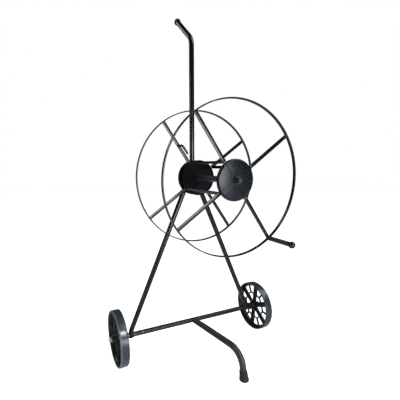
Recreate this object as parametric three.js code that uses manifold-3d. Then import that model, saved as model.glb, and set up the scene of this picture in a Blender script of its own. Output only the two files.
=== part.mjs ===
// Garden hose reel cart: a bent-tube frame on two moulded wheels and a front foot, carrying an open
// reel of flat-bar hoops and spokes that turns on a fixed spindle, with a crank on its front hoop.
//
// Millimetres, +Z up. The reel's axis runs along Y, with its crank side towards -Y, and the wheels'
// axis runs along X. The origin is on the floor, under the centre of the cart's bounding box.

import * as THREE from "three";
import { mergeVertices } from "three/addons/utils/BufferGeometryUtils.js";
import Module from "manifold-3d";

const wasm = await Module();
wasm.setup();

// ---------------------------------------------------------------- driving dimensions

const GAP = 0.3; // left between pieces that touch or are welded
const RUNNING_GAP = 0.1; // radial play of a turning piece

// Reel. Its axial places are measured from the front hoop's middle.
const AXIS_HEIGHT = 598;
const HOOP_RADIUS = 205;
const HOOP_SPACING = 200;
const HOOP_WIDTH = 9;
const HOOP_THICKNESS = 3.2;
const BAR_ANGLES = {
  upper_right: 35,
  upper_left: 125,
  lower_left: 215,
  lower_right: 305,
};
const BAR_WIDTH = 10;
const BAR_THICKNESS = 3;
const BAR_BEND = 4;
const DISC_RADIUS = 55.5;
const DISC_SHOULDER = 5;
const DISC_SHEET = 1.5;
const DISC_PROUD = 8;
const DISC_DEPTH = 11;
const REEL_TUBE_RADIUS = 9;
const REEL_TUBE_WALL = 1.7;
const REEL_TUBE_PROUD = 10;
const BUSH_FLANGE = 2;
const BUSH_LENGTH = 24;

// Hose hook, on the back spoke at the upper left.
const HOOK_RADIUS = 3.5;
const HOOK_ROOT = 120;
const HOOK_TIP = 90;
const HOOK_REACH = 28;
const HOOK_BEND = 8;

// Crank, on the front hoop at the lower right spoke.
const CRANK_LENGTH = 90;
const CRANK_PIN_RADIUS = 4;
const GRIP_RADIUS = 6.5;
const KNOB_RADIUS = 9.2;

// Frame.
const MAST_SETBACK = 244;
const TUBE_RADIUS = 8;
const TUBE_WALL = 1.2;
const MAST_FOOT_HEIGHT = 575;
const HANDLE_BEND_HEIGHT = 1022.5;
const HANDLE_RISE_ANGLE = 40.6;
const HANDLE_LENGTH = 128;
const HANDLE_BEND = 40;
const HANDLE_CAP_RADIUS = 11;
const HANDLE_CAP_LENGTH = 12;
const LEG_MEETING_HEIGHT = 623.5;
const LEG_SLOPE = 0.44;
const LEG_FOOT_X = 229;
const LEG_BEND = 70;
const LEG_END_DROP = 8.5;
const HUB_DISC_SETBACK = 226.5;
const HUB_DISC_DEPTH = 9;
const SPINDLE_RADIUS = 6;
const SPINDLE_STUD_RADIUS = 4;
const SPINDLE_HEAD_FLATS = 19;
const SPINDLE_HEAD_THICKNESS = 6.5;
const SPINDLE_NUT_FLATS = 13;
const SPINDLE_NUT_THICKNESS = 6.8;
const SPINDLE_WASHER_RADIUS = 10;
const SPACER_RADIUS = 10;

// Foot, a bent tube from the middle of the axle bar.
const FOOT_X = 46;
const FOOT_Y = 0;
const FOOT_TUBE_RADIUS = 10;
const FOOT_TUBE_HEIGHT = 93;
const FOOT_KNEE_HEIGHT = 87;
const FOOT_BEND = 55;
const FOOT_LEAN = 10;
const TIP_HEIGHT = 30;
const TIP_BASE_RADIUS = 14.4;
const TIP_NECK_RADIUS = 12;
const TIP_SOLE = 8;

// Wheels.
const WHEEL_RADIUS = 90;
const WHEEL_WIDTH = 28;
const WHEEL_TRACK = 544;
const RIM_WALL = 13;
const WEB_THICKNESS = 6;
const SPOKE_COUNT = 6;
const SPOKE_WIDTH = 19;
const RIB_WIDTH = 6;
const HUB_RADIUS = 12;
const HUB_REACH_IN = 31.5;
const HUB_REACH_OUT = 20;
const AXLE_RADIUS = 4;
const AXLE_INNER_END = 201;
const LEFT_SPOKE_TURN = 9;
const RIGHT_SPOKE_TURN = 24;
const AXLE_CAP_RADIUS = 7;
const AXLE_CAP_LENGTH = 9;
const WASHER_THICKNESS = 1.5;
const AXLE_WASHER_RADIUS = 9;

// Worked out from the above.
const handleAngle = THREE.MathUtils.degToRad(HANDLE_RISE_ANGLE);
const handleAlong = new THREE.Vector3(0, Math.cos(handleAngle), Math.sin(handleAngle));
const footAxis = new THREE.Vector3(-FOOT_X, MAST_SETBACK - FOOT_Y, 0)
  .normalize()
  .multiplyScalar(Math.tan(THREE.MathUtils.degToRad(FOOT_LEAN)))
  .setZ(1)
  .normalize();
const NECK_BORE = SPINDLE_RADIUS + RUNNING_GAP;

// ---------------------------------------------------------------- materials

const paint = { color: 0x17181b, roughness: 0.42, metalness: 0.35 };
const discPaint = { color: 0x2a2d35, roughness: 0.5, metalness: 0.3 };
const zinc = { color: 0x9a9da0, roughness: 0.35, metalness: 0.9 };
const darkSteel = { color: 0x3a3c40, roughness: 0.4, metalness: 0.8 };
const rubber = { color: 0x121212, roughness: 0.85, metalness: 0 };
const wheelPlastic = { color: 0x35383c, roughness: 0.55, metalness: 0 };
const bushPlastic = { color: 0x1c1c1e, roughness: 0.6, metalness: 0 };

// ---------------------------------------------------------------- solids and booleans

function toSolid(geometry) {
  const bare = geometry.clone();
  bare.deleteAttribute("normal");
  bare.deleteAttribute("uv");
  const merged = mergeVertices(bare, 1e-4);
  const mesh = new wasm.Mesh({
    numProp: 3,
    vertProperties: merged.attributes.position.array,
    triVerts: new Uint32Array(merged.index.array),
  });
  return new wasm.Manifold(mesh);
}

function toGeometry(solid) {
  const mesh = solid.getMesh();
  const geometry = new THREE.BufferGeometry();
  geometry.setAttribute("position", new THREE.BufferAttribute(mesh.vertProperties, 3));
  geometry.setIndex(new THREE.BufferAttribute(mesh.triVerts, 1));
  return geometry;
}

function join(...geometries) {
  const solids = geometries.map(toSolid);
  return toGeometry(solids.reduce((whole, next) => whole.add(next)));
}

function cut(geometry, ...tools) {
  const start = toSolid(geometry);
  return toGeometry(tools.map(toSolid).reduce((whole, tool) => whole.subtract(tool), start));
}

// ---------------------------------------------------------------- shape helpers

// A path through given stations, with a tangent at each that halves the turn there, so that a tube
// swept along it keeps its section round the bends and has square ends.
class StationPath extends THREE.Curve {
  constructor(stations) {
    super();
    this.stations = stations;
  }

  getPoint(t) {
    const place = t * (this.stations.length - 1);
    const before = Math.min(Math.floor(place), this.stations.length - 2);
    return this.stations[before].clone().lerp(this.stations[before + 1], place - before);
  }

  getTangentAt(u) {
    const last = this.stations.length - 1;
    const here = Math.round(u * last);
    const tangent = new THREE.Vector3();
    for (const start of [here - 1, here]) {
      if (start < 0 || start >= last) continue;
      tangent.add(this.stations[start + 1].clone().sub(this.stations[start]).normalize());
    }
    return tangent.normalize();
  }

  getSpacedPoints(count) {
    return this.getPoints(count);
  }
}

// The stations of a polyline whose inner corners are rounded to arcs.
function bentStations(corners, bendRadius, arcSteps) {
  const stations = [corners[0]];
  for (let i = 1; i < corners.length - 1; i += 1) {
    const toward = corners[i].clone().sub(corners[i - 1]).normalize();
    const away = corners[i + 1].clone().sub(corners[i]).normalize();
    const turn = toward.angleTo(away);
    const tangentLength = bendRadius * Math.tan(turn / 2);
    const arcStart = corners[i].clone().addScaledVector(toward, -tangentLength);
    const inward = away.clone().addScaledVector(toward, -Math.cos(turn)).normalize();
    const centre = arcStart.clone().addScaledVector(inward, bendRadius);
    for (let step = 0; step <= arcSteps; step += 1) {
      const angle = (turn * step) / arcSteps;
      const point = centre.clone().addScaledVector(inward, -bendRadius * Math.cos(angle));
      stations.push(point.addScaledVector(toward, bendRadius * Math.sin(angle)));
    }
  }
  stations.push(corners[corners.length - 1]);
  return stations;
}

function sweep(section, corners, bendRadius, arcSteps, halfSides = 6) {
  const stations = corners.length > 2 ? bentStations(corners, bendRadius, arcSteps) : corners;
  return new THREE.ExtrudeGeometry(section, {
    extrudePath: new StationPath(stations),
    steps: stations.length - 1,
    curveSegments: halfSides,
  });
}

function circleShape(radius, boreRadius = 0) {
  const shape = new THREE.Shape().absarc(0, 0, radius, 0, 2 * Math.PI);
  if (boreRadius > 0) shape.holes.push(new THREE.Path().absarc(0, 0, boreRadius, 0, 2 * Math.PI));
  return shape;
}

function rectangleShape(width, height) {
  const corners = [
    [-width / 2, -height / 2],
    [width / 2, -height / 2],
    [width / 2, height / 2],
    [-width / 2, height / 2],
  ];
  return new THREE.Shape(corners.map(([x, y]) => new THREE.Vector2(x, y)));
}

function bentTube(corners, bendRadius, radius = TUBE_RADIUS, arcSteps = 6) {
  return sweep(circleShape(radius, radius - TUBE_WALL), corners, bendRadius, arcSteps);
}

// A solid of revolution about Y from [radius, y] points, given from the lowest y round the outside.
function turned(points, segments = 24) {
  return new THREE.LatheGeometry(
    points.map(([radius, y]) => new THREE.Vector2(radius, y)),
    segments,
  );
}

// A ring or tube about Y between two heights.
function ring(outerRadius, innerRadius, low, high, segments = 24) {
  const outline = [
    [innerRadius, low],
    [outerRadius, low],
    [outerRadius, high],
    [innerRadius, high],
    [innerRadius, low],
  ];
  return turned(outline, segments);
}

// A rod about Y between two heights.
function rod(radius, low, high, segments = 24) {
  const outline = [
    [0, low],
    [radius, low],
    [radius, high],
    [0, high],
  ];
  return turned(outline, segments);
}

// Points on a quarter round from one [radius, y] place to another about a centre.
function roundCorner(centreRadius, centreY, radius, fromAngle, toAngle, steps) {
  const points = [];
  for (let i = 0; i <= steps; i += 1) {
    const angle = THREE.MathUtils.degToRad(fromAngle + ((toAngle - fromAngle) * i) / steps);
    points.push([centreRadius + radius * Math.cos(angle), centreY + radius * Math.sin(angle)]);
  }
  return points;
}

// A hexagonal prism about Y between two heights.
function hexagon(flats, low, high) {
  const geometry = new THREE.CylinderGeometry(flats / Math.sqrt(3), flats / Math.sqrt(3), high - low, 6);
  return geometry.translate(0, (low + high) / 2, 0);
}

function piece(name, geometry, finish) {
  const mesh = new THREE.Mesh(geometry, new THREE.MeshStandardMaterial(finish));
  mesh.name = name;
  return mesh;
}

// ---------------------------------------------------------------- reel

function hoop(axialPlace) {
  const outer = HOOP_RADIUS + HOOP_THICKNESS / 2;
  const inner = HOOP_RADIUS - HOOP_THICKNESS / 2;
  return ring(outer, inner, axialPlace - HOOP_WIDTH / 2, axialPlace + HOOP_WIDTH / 2, 72);
}

// One flat bar bent to a U: out of the front hoop to the drum, along it, and back out to the rear
// hoop. Made with its spokes along +X and turned to its place about the reel's axis.
function drumBar(angle) {
  const tip = HOOP_RADIUS - HOOP_THICKNESS / 2 - GAP;
  const seat = DISC_RADIUS + GAP + BAR_THICKNESS / 2;
  const corners = [
    new THREE.Vector3(tip, 0, 0),
    new THREE.Vector3(seat, 0, 0),
    new THREE.Vector3(seat, HOOP_SPACING, 0),
    new THREE.Vector3(tip, HOOP_SPACING, 0),
  ];
  const bar = sweep(rectangleShape(BAR_WIDTH, BAR_THICKNESS), corners, BAR_BEND, 4);
  return bar.rotateY(-THREE.MathUtils.degToRad(angle));
}

// A pressed steel dish about Y: a flat face at y = 0 and a rounded shoulder that turns up to a rim.
function dish(depth, holeRadius) {
  const inside = DISC_SHOULDER - DISC_SHEET;
  const centre = DISC_RADIUS - DISC_SHOULDER;
  const outline = [
    [holeRadius, 0],
    ...roundCorner(centre, DISC_SHOULDER, DISC_SHOULDER, -90, 0, 3),
    [DISC_RADIUS, depth],
    [DISC_RADIUS - DISC_SHEET, depth],
    ...roundCorner(centre, DISC_SHOULDER, inside, 0, -90, 3),
    [holeRadius, DISC_SHEET],
    [holeRadius, 0],
  ];
  return turned(outline, 36);
}

// A flanged plastic bush about Y whose flange lies under y = 0 and whose sleeve stands above it.
function bush() {
  const sleeveRadius = REEL_TUBE_RADIUS - REEL_TUBE_WALL - GAP;
  const outline = [
    [NECK_BORE, -BUSH_FLANGE],
    [REEL_TUBE_RADIUS, -BUSH_FLANGE],
    [REEL_TUBE_RADIUS, -GAP],
    [sleeveRadius, -GAP],
    [sleeveRadius, BUSH_LENGTH],
    [NECK_BORE, BUSH_LENGTH],
    [NECK_BORE, -BUSH_FLANGE],
  ];
  return turned(outline);
}

function hoseHook() {
  const root = HOOP_SPACING - BAR_THICKNESS / 2 - GAP;
  const front = HOOP_SPACING - HOOK_REACH;
  const corners = [
    new THREE.Vector3(HOOK_ROOT, root, 0),
    new THREE.Vector3(HOOK_ROOT, front, 0),
    new THREE.Vector3(HOOK_TIP, front, 0),
  ];
  const hook = sweep(circleShape(HOOK_RADIUS), corners, HOOK_BEND, 4, 5);
  return hook.rotateY(-THREE.MathUtils.degToRad(BAR_ANGLES.upper_left));
}

function makeReel() {
  const reel = new THREE.Group();
  const tubeFront = -REEL_TUBE_PROUD;
  const tubeBack = HOOP_SPACING + REEL_TUBE_PROUD;
  const discHole = REEL_TUBE_RADIUS + GAP;
  const tube = ring(REEL_TUBE_RADIUS, REEL_TUBE_RADIUS - REEL_TUBE_WALL, tubeFront, tubeBack);
  const frontDisc = piece("front_disc", dish(DISC_DEPTH, discHole), discPaint);
  const rearDisc = piece("rear_disc", dish(DISC_DEPTH, discHole), discPaint);
  const frontBush = piece("front_bush", bush(), bushPlastic);
  const rearBush = piece("rear_bush", bush(), bushPlastic);
  frontDisc.position.y = -DISC_PROUD;
  rearDisc.position.y = HOOP_SPACING + DISC_PROUD;
  rearDisc.rotation.x = Math.PI;
  frontBush.position.y = tubeFront;
  rearBush.position.y = tubeBack;
  rearBush.rotation.x = Math.PI;
  reel.add(piece("front_hoop", hoop(0), paint), piece("rear_hoop", hoop(HOOP_SPACING), paint));
  for (const [place, angle] of Object.entries(BAR_ANGLES)) {
    reel.add(piece(`drum_bar_${place}`, drumBar(angle), paint));
  }
  reel.add(frontDisc, rearDisc, piece("reel_tube", tube, darkSteel), frontBush, rearBush);
  reel.add(piece("hose_hook", hoseHook(), paint), makeCrank());
  return reel;
}

// The crank about its own axis: a pin with a collar on the hoop's front edge, a sleeve that turns on
// it, and a round knob on its end.
function makeCrank() {
  const crank = new THREE.Group();
  const angle = THREE.MathUtils.degToRad(BAR_ANGLES.lower_right);
  const hoopFront = -HOOP_WIDTH / 2 - GAP;
  const collarFront = hoopFront - 3;
  const knobBack = -CRANK_LENGTH + 6;
  const pinEnd = -CRANK_LENGTH - 2;
  const sleeveFront = knobBack + GAP;
  const sleeveBack = collarFront - GAP;
  const bore = CRANK_PIN_RADIUS + RUNNING_GAP;
  const pinOutline = [
    [0, pinEnd],
    [CRANK_PIN_RADIUS, pinEnd],
    [CRANK_PIN_RADIUS, collarFront],
    [GRIP_RADIUS, collarFront],
    [GRIP_RADIUS, hoopFront],
    [0, hoopFront],
  ];
  const socket = CRANK_PIN_RADIUS + GAP;
  const backHalfAngle = THREE.MathUtils.radToDeg(Math.asin(6 / KNOB_RADIUS));
  const knobOutline = [
    ...roundCorner(0, -CRANK_LENGTH, KNOB_RADIUS, -90, backHalfAngle, 8),
    [socket, knobBack],
    [socket, pinEnd - GAP],
    [0, pinEnd - GAP],
  ];
  crank.add(piece("crank_pin", turned(pinOutline, 24), darkSteel));
  crank.add(piece("crank_grip", ring(GRIP_RADIUS, bore, sleeveFront, sleeveBack, 24), paint));
  crank.add(piece("crank_knob", turned(knobOutline, 24), rubber));
  crank.position.set(HOOP_RADIUS * Math.cos(angle), 0, HOOP_RADIUS * Math.sin(angle));
  return crank;
}

// ---------------------------------------------------------------- frame

function makeMast() {
  const bend = new THREE.Vector3(0, MAST_SETBACK, HANDLE_BEND_HEIGHT);
  const end = bend.clone().addScaledVector(handleAlong, HANDLE_LENGTH);
  const corners = [new THREE.Vector3(0, MAST_SETBACK, MAST_FOOT_HEIGHT), bend, end];
  const cap = piece("handle_end_cap", handleCap(), rubber);
  cap.position.copy(end);
  cap.rotation.x = handleAngle;
  return [piece("mast_tube", bentTube(corners, HANDLE_BEND), paint), cap];
}

// A rubber plug about Y: a spigot inside the tube below y = 0 and a domed head above it.
function handleCap() {
  const spigot = TUBE_RADIUS - TUBE_WALL - GAP;
  const lip = 3;
  const outline = [
    [0, -18],
    [spigot, -18],
    [spigot, GAP],
    [HANDLE_CAP_RADIUS - 1, GAP],
    [HANDLE_CAP_RADIUS, GAP + 1],
    [HANDLE_CAP_RADIUS, GAP + lip],
  ];
  const domeHeight = HANDLE_CAP_LENGTH - lip;
  for (let i = 1; i <= 6; i += 1) {
    const angle = (Math.PI / 2) * (i / 6);
    outline.push([HANDLE_CAP_RADIUS * Math.cos(angle), GAP + lip + domeHeight * Math.sin(angle)]);
  }
  outline[outline.length - 1][0] = 0;
  return turned(outline, 24);
}

function legCorners(side) {
  const bendHeight = LEG_MEETING_HEIGHT - LEG_FOOT_X / LEG_SLOPE;
  const topHeight = LEG_MEETING_HEIGHT + 20;
  const topX = -LEG_SLOPE * 20;
  return [
    new THREE.Vector3(side * topX, MAST_SETBACK, topHeight),
    new THREE.Vector3(side * LEG_FOOT_X, MAST_SETBACK, bendHeight),
    new THREE.Vector3(side * LEG_FOOT_X, MAST_SETBACK, WHEEL_RADIUS - LEG_END_DROP),
  ];
}

// A leg: mitred at its top against the mast's side, and drilled near its end for the axle pin.
function leg(side) {
  const block = new THREE.BoxGeometry(60, 60, 120);
  block.translate(side * (TUBE_RADIUS + GAP - 30), MAST_SETBACK, LEG_MEETING_HEIGHT);
  const drill = rod(AXLE_RADIUS + GAP, -20, 20).rotateZ(Math.PI / 2);
  drill.translate(side * LEG_FOOT_X, MAST_SETBACK, WHEEL_RADIUS);
  return cut(bentTube(legCorners(side), LEG_BEND), block, drill);
}

// The bar between the legs, coped round each leg's tube.
function axleBar() {
  const bar = bentTube([
    new THREE.Vector3(-LEG_FOOT_X, MAST_SETBACK, WHEEL_RADIUS),
    new THREE.Vector3(LEG_FOOT_X, MAST_SETBACK, WHEEL_RADIUS),
  ]);
  const copes = [-1, 1].map((side) =>
    sweep(circleShape(TUBE_RADIUS + GAP), legCorners(side), LEG_BEND, 6),
  );
  return cut(bar, ...copes);
}

// The foot's tube runs out from the bar, bends down at a knee and leans a little out to its end.
function footTube() {
  const start = new THREE.Vector3(0, MAST_SETBACK, FOOT_TUBE_HEIGHT);
  const sole = new THREE.Vector3(FOOT_X, FOOT_Y, 0);
  const end = sole.clone().addScaledVector(footAxis, (TIP_SOLE + 2) / footAxis.z);
  const knee = sole.clone().addScaledVector(footAxis, FOOT_KNEE_HEIGHT / footAxis.z);
  const along = knee.clone().sub(start).normalize();
  const corners = [start.addScaledVector(along, 2), knee, end];
  const cope = rod(TUBE_RADIUS + GAP, -40, 40).rotateZ(Math.PI / 2);
  cope.translate(0, MAST_SETBACK, WHEEL_RADIUS);
  return cut(bentTube(corners, FOOT_BEND, FOOT_TUBE_RADIUS, 8), cope);
}

// The rubber ferrule on the foot, flared to a rounded sole. It leans with the tube, on a level sole.
function footTip() {
  const socket = FOOT_TUBE_RADIUS + GAP;
  const edge = 3;
  const outline = [
    [0, 0],
    ...roundCorner(TIP_BASE_RADIUS - edge, edge, edge, -90, 0, 4),
    [TIP_BASE_RADIUS - 1.6, 12],
    [TIP_NECK_RADIUS, TIP_HEIGHT - 1],
    [TIP_NECK_RADIUS - 1, TIP_HEIGHT],
    [socket, TIP_HEIGHT],
    [socket, TIP_SOLE],
    [0, TIP_SOLE],
  ];
  const lean = new THREE.Matrix4().makeShear(
    0,
    0,
    0,
    0,
    footAxis.x / footAxis.z,
    footAxis.y / footAxis.z,
  );
  const geometry = turned(outline, 28).rotateX(Math.PI / 2).applyMatrix4(lean);
  const tip = piece("foot_tip", geometry, rubber);
  tip.position.set(FOOT_X, FOOT_Y, 0);
  return tip;
}

// The spindle is a long bolt: its head lies behind the frame's hub disc, and its front end steps
// down to a stud for the washer and nut that keep the reel on.
function spindle() {
  const headFront = HUB_DISC_SETBACK + DISC_SHEET + GAP;
  const shoulder = -REEL_TUBE_PROUD - BUSH_FLANGE - GAP;
  const studEnd = shoulder - WASHER_THICKNESS - SPINDLE_NUT_THICKNESS - 3;
  const shaft = turned(
    [
      [0, studEnd],
      [SPINDLE_STUD_RADIUS - 1, studEnd],
      [SPINDLE_STUD_RADIUS, studEnd + 1],
      [SPINDLE_STUD_RADIUS, shoulder],
      [SPINDLE_RADIUS, shoulder],
      [SPINDLE_RADIUS, headFront + 1],
      [0, headFront + 1],
    ],
    32,
  );
  return join(shaft, hexagon(SPINDLE_HEAD_FLATS, headFront, headFront + SPINDLE_HEAD_THICKNESS));
}

function makeSpindleParts() {
  const group = new THREE.Group();
  const washerBack = -REEL_TUBE_PROUD - BUSH_FLANGE - 2 * GAP;
  const washerFront = washerBack - WASHER_THICKNESS;
  const nutBack = washerFront - GAP;
  const bore = SPINDLE_STUD_RADIUS + GAP;
  const nutBore = rod(bore, nutBack - 20, nutBack + 20);
  const nut = cut(hexagon(SPINDLE_NUT_FLATS, nutBack - SPINDLE_NUT_THICKNESS, nutBack), nutBore);
  const hubDisc = piece("frame_hub_disc", dish(HUB_DISC_DEPTH, SPINDLE_RADIUS + GAP), discPaint);
  hubDisc.position.y = HUB_DISC_SETBACK;
  const spacerFront = HOOP_SPACING + REEL_TUBE_PROUD + BUSH_FLANGE + GAP;
  const spacer = ring(SPACER_RADIUS, SPINDLE_RADIUS + GAP, spacerFront, HUB_DISC_SETBACK - GAP);
  group.add(hubDisc);
  group.add(piece("spindle", spindle(), darkSteel));
  group.add(piece("spindle_spacer", spacer, darkSteel));
  group.add(piece("spindle_washer", ring(SPINDLE_WASHER_RADIUS, bore, washerFront, washerBack), zinc));
  group.add(piece("spindle_nut", nut, zinc));
  group.position.z = AXIS_HEIGHT;
  return group;
}

// ---------------------------------------------------------------- wheels

// The outline of one window in the wheel's web, from [radius, angle in degrees] corners.
function window(corners) {
  const points = corners.map(([radius, angle]) => {
    const turn = THREE.MathUtils.degToRad(angle);
    return new THREE.Vector2(radius * Math.cos(turn), radius * Math.sin(turn));
  });
  return new THREE.Path(points);
}

// The angle that an offset of half a spoke or rib subtends at a radius, in degrees.
function offsetAngle(offset, radius) {
  return THREE.MathUtils.radToDeg(Math.asin(offset / radius));
}

// The web: six broad spokes, and between each pair a Y of thin ribs that leaves three windows.
function wheelWeb() {
  const outer = WHEEL_RADIUS - RIM_WALL;
  const inner = HUB_RADIUS + 4;
  const forkOuter = 52;
  const forkInner = forkOuter - RIB_WIDTH - 1;
  const spokeHalf = SPOKE_WIDTH / 2;
  const ribHalf = RIB_WIDTH / 2;
  const pitch = 360 / SPOKE_COUNT;
  const shape = circleShape(outer + 2);
  for (let sector = 0; sector < SPOKE_COUNT; sector += 1) {
    const start = sector * pitch;
    const middle = start + pitch / 2;
    for (const side of [-1, 1]) {
      const spokeEdge = (radius) => middle + side * (pitch / 2 - offsetAngle(spokeHalf, radius));
      const ribEdge = (radius) => middle + side * offsetAngle(ribHalf, radius);
      shape.holes.push(
        window([
          [forkOuter, ribEdge(forkOuter)],
          [outer, ribEdge(outer)],
          [outer, middle + side * (pitch / 4)],
          [outer - 2, spokeEdge(outer - 2)],
          [forkOuter - 4, spokeEdge(forkOuter - 4)],
        ]),
      );
    }
    shape.holes.push(
      window([
        [inner, middle],
        [forkInner - 4, start + offsetAngle(spokeHalf, forkInner - 4)],
        [forkInner, middle],
        [forkInner - 4, start + pitch - offsetAngle(spokeHalf, forkInner - 4)],
      ]),
    );
  }
  return new THREE.ExtrudeGeometry(shape, {
    depth: WEB_THICKNESS,
    bevelEnabled: false,
    curveSegments: 12,
  });
}

// A moulded wheel about Y, with its outer side towards +Y and its middle at y = 0.
function wheel(spokeTurn) {
  const half = WHEEL_WIDTH / 2;
  const edge = 2.5;
  const inner = WHEEL_RADIUS - RIM_WALL;
  const facets = 48;
  const rim = turned(
    [
      [WHEEL_RADIUS - 4, -half],
      ...roundCorner(WHEEL_RADIUS - edge, -half + edge, edge, -90, 0, 2),
      ...roundCorner(WHEEL_RADIUS - edge, half - edge, edge, 0, 90, 2),
      [WHEEL_RADIUS - 4, half],
      [inner, WEB_THICKNESS / 2],
      [inner, -WEB_THICKNESS / 2],
      [WHEEL_RADIUS - 4, -half],
    ],
    facets,
  );
  // The tread's flats, not its corners, lie at the wheel's radius, and one is flat on the floor.
  const spread = 1 / Math.cos(Math.PI / facets);
  rim.scale(spread, 1, spread).rotateY(Math.PI / facets);
  const web = wheelWeb().translate(0, 0, -WEB_THICKNESS / 2).rotateX(Math.PI / 2);
  web.rotateY(-THREE.MathUtils.degToRad(spokeTurn));
  const hub = turned([
    [0, -HUB_REACH_IN],
    [HUB_RADIUS, -HUB_REACH_IN],
    [HUB_RADIUS + 1.5, -half],
    [HUB_RADIUS + 1.5, 0],
    [HUB_RADIUS - 1, HUB_REACH_OUT],
    [0, HUB_REACH_OUT],
  ]);
  const bore = rod(AXLE_RADIUS + RUNNING_GAP, -2 * HUB_REACH_IN, 2 * HUB_REACH_IN, 32);
  return cut(join(rim, web, hub), bore);
}

// Everything on one end of the axle, about Y with the outer end towards +Y and the wheel's middle
// at y = 0.
function makeAxleEnd(sideName, spokeTurn) {
  const legSide = LEG_FOOT_X + TUBE_RADIUS - WHEEL_TRACK / 2;
  const innerWasherLow = legSide + GAP;
  const innerWasherHigh = innerWasherLow + WASHER_THICKNESS;
  const outerWasherLow = HUB_REACH_OUT + GAP;
  const outerWasherHigh = outerWasherLow + WASHER_THICKNESS;
  const capLow = outerWasherHigh + GAP;
  const capHigh = capLow + AXLE_CAP_LENGTH;
  const pinEnd = capHigh - 3;
  const bore = AXLE_RADIUS + GAP;
  const end = new THREE.Group();
  const pin = rod(AXLE_RADIUS, AXLE_INNER_END - WHEEL_TRACK / 2, pinEnd);
  const capOutline = [
    [bore, capLow],
    [AXLE_CAP_RADIUS, capLow],
    [AXLE_CAP_RADIUS, capHigh - 4],
    ...roundCorner(AXLE_CAP_RADIUS - 4, capHigh - 4, 4, 15, 90, 4),
    [0, capHigh],
    [0, pinEnd + GAP],
    [bore, pinEnd + GAP],
    [bore, capLow],
  ];
  const innerWasher = ring(AXLE_WASHER_RADIUS, bore, innerWasherLow, innerWasherHigh, 24);
  const outerWasher = ring(AXLE_WASHER_RADIUS, bore, outerWasherLow, outerWasherHigh, 24);
  end.add(piece(`${sideName}_wheel`, wheel(spokeTurn), wheelPlastic));
  end.add(piece(`${sideName}_axle_pin`, pin, zinc));
  end.add(piece(`${sideName}_inner_washer`, innerWasher, zinc));
  end.add(piece(`${sideName}_outer_washer`, outerWasher, zinc));
  end.add(piece(`${sideName}_axle_cap`, turned(capOutline, 24), zinc));
  return end;
}

// ---------------------------------------------------------------- assembly

const cart = new THREE.Group();
const reel = makeReel();
reel.position.z = AXIS_HEIGHT;
cart.add(reel, makeSpindleParts(), ...makeMast());
for (const [sideName, side, spokeTurn] of [
  ["left", -1, LEFT_SPOKE_TURN],
  ["right", 1, RIGHT_SPOKE_TURN],
]) {
  const axleEnd = makeAxleEnd(sideName, spokeTurn);
  axleEnd.rotation.z = (-side * Math.PI) / 2;
  axleEnd.position.set((side * WHEEL_TRACK) / 2, MAST_SETBACK, WHEEL_RADIUS);
  cart.add(piece(`${sideName}_leg`, leg(side), paint), axleEnd);
}
cart.add(piece("axle_bar", axleBar(), paint), piece("foot_tube", footTube(), paint), footTip());

// Moved so that the origin lies under the middle of the whole cart.
const bounds = new THREE.Box3().setFromObject(cart, true);
cart.position.y = -(bounds.min.y + bounds.max.y) / 2;

const object = new THREE.Group();
object.add(cart);

export default object;
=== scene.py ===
"""The looks of the garden hose reel cart: smooth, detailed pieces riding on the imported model's bodies.

Shapes are worked out in millimetres, with y = 0 at the middle of the front hoop, and placed in
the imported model's frame by place().
"""

import math
import random

import bmesh
import bpy
from mathutils import Matrix, Vector

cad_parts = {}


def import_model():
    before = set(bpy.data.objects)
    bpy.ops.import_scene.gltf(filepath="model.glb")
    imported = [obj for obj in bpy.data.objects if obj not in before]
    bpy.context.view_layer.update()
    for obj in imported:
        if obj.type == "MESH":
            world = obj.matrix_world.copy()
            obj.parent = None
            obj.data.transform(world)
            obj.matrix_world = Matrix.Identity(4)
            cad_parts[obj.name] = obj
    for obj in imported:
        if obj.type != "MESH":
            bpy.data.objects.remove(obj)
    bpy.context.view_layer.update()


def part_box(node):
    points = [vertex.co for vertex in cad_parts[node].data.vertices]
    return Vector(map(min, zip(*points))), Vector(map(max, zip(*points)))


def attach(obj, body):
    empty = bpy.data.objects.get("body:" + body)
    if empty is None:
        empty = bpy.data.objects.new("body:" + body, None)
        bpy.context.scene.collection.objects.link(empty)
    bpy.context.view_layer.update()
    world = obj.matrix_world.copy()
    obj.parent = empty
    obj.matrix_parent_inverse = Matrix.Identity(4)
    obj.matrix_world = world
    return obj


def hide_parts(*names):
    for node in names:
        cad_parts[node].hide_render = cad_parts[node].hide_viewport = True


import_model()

# ---------------------------------------------------------------- dimensions, in millimetres

MM = 0.001
X, Y, Z = Vector((1, 0, 0)), Vector((0, 1, 0)), Vector((0, 0, 1))
WELD_GAP = 0.2
RUNNING_GAP = 0.3

AXIS_HEIGHT = 598
HOOP_RADIUS = 205
HOOP_SPACING = 200
HOOP_WIDTH = 9
HOOP_THICKNESS = 3.2
BAR_ANGLES = {"upper_right": 35, "upper_left": 125, "lower_left": 215, "lower_right": 305}
BAR_WIDTH = 10
BAR_THICKNESS = 3
BAR_BEND = 4
BAR_SEAT = 57.3
DISC_RADIUS = 55.5
DISC_SHEET = 1.5
DISC_PROUD = 8
DISC_DEPTH = 11
DISC_DOME = 1.4
DISC_FLAT = 14
DISC_SHOULDER = 5
CHANNEL_DEPTH = 0.09
CHANNEL_SPREAD = 4.5
REEL_TUBE_RADIUS = 9
REEL_TUBE_WALL = 1.7
REEL_TUBE_PROUD = 10
BUSH_BORE = 6.1
BUSH_LENGTH = 24

HOOK_RADIUS = 3.5
HOOK_ROOT = 120
HOOK_TIP = 90
HOOK_REACH = 28
HOOK_BEND = 8
CRANK_LENGTH = 90
CRANK_PIN_RADIUS = 4
CRANK_COLLAR = 3
KNOB_RADIUS = 9.2
KNOB_BACK = 6
GRIP_RADIUS = 6.5

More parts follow.
